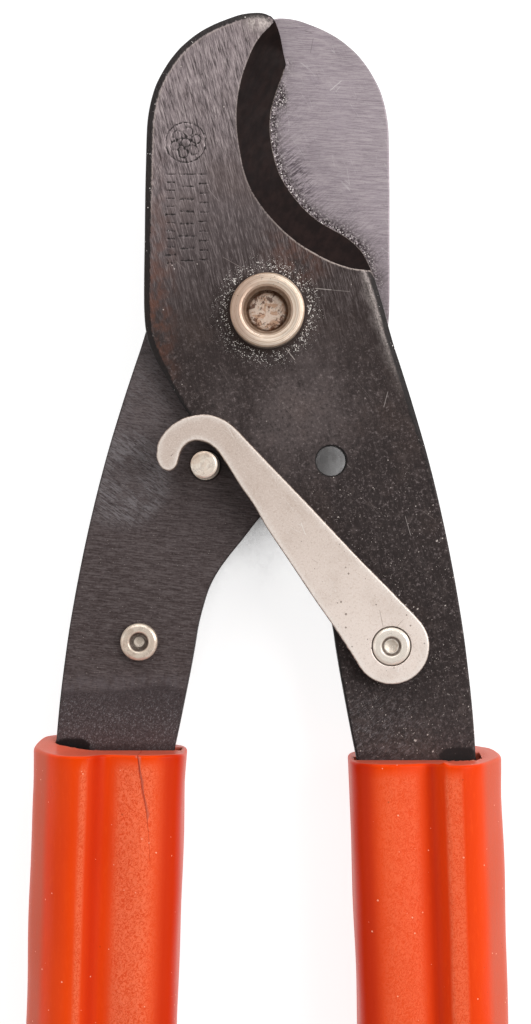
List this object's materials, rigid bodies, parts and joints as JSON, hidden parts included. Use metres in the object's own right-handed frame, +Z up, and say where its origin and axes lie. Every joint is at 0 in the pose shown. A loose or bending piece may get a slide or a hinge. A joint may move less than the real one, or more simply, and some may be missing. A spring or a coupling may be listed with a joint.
{
  "type": "cable cutter",
  "caption": "Two-hand cable cutter with curved shearing jaws, a hooked lock lever and long moulded grips.",
  "frame": {"origin": "on the pivot axis, at the underside of the pivot bolt's head, in the plane the tool lies on", "axes": "+Y from the grips to the jaws, +X to the right-hand grip, +Z up out of the front blade's face along the pivot axis"},
  "size_m": [0.1102, 0.5601, 0.0272],
  "materials": {
    "blackened_steel": "satin, brushed, worn bright at the edges",
    "nickel_plate": "satin nickel plate, scuffed",
    "bolt_steel": "bare, spotted with rust",
    "spring_steel": "satin",
    "zinc_plate": "satin zinc plate",
    "orange_grip": "semi-matt, fine leather grain",
    "tube_steel": "drawn, uncoated"
  },
  "bodies": {
    "front_half": {"front_blade": "blackened_steel", "pivot_sleeve_nut": "nickel_plate", "pivot_bolt": "bolt_steel", "pivot_spring_washer": "spring_steel", "lock_lever_screw": "nickel_plate", "lock_lever_wave_washer": "spring_steel", "lock_lever_nut": "zinc_plate", "right_grip": "orange_grip", "right_core_tube": "tube_steel", "right_upper_tang_rivet": "zinc_plate", "right_lower_tang_rivet": "zinc_plate", "right_end_plug": "orange_grip"},
    "rear_half": {"rear_blade": "blackened_steel", "catch_stud": "nickel_plate", "plain_socket_screw": "nickel_plate", "plain_socket_screw_nut": "zinc_plate", "left_grip": "orange_grip", "left_core_tube": "tube_steel", "left_upper_tang_rivet": "zinc_plate", "left_lower_tang_rivet": "zinc_plate", "left_end_plug": "orange_grip"},
    "lever": {"lock_lever": "nickel_plate"}
  },
  "joints": [
    {"name": "blades_open", "type": "hinge", "parent": "front_half", "child": "rear_half", "pos_m": [0, 0, 0.0136], "axis": [0, 0, -1], "range_deg": [0, 55]},
    {"name": "lever_swing", "type": "hinge", "parent": "front_half", "child": "lever", "pos_m": [0.0259, -0.0702, 0.0209], "axis": [0, 0, -1], "range_deg": [0, 165]}
  ],
  "couplings": [
    {"joint": "lever_swing", "follows": "blades_open", "ratio": 3}
  ]
}
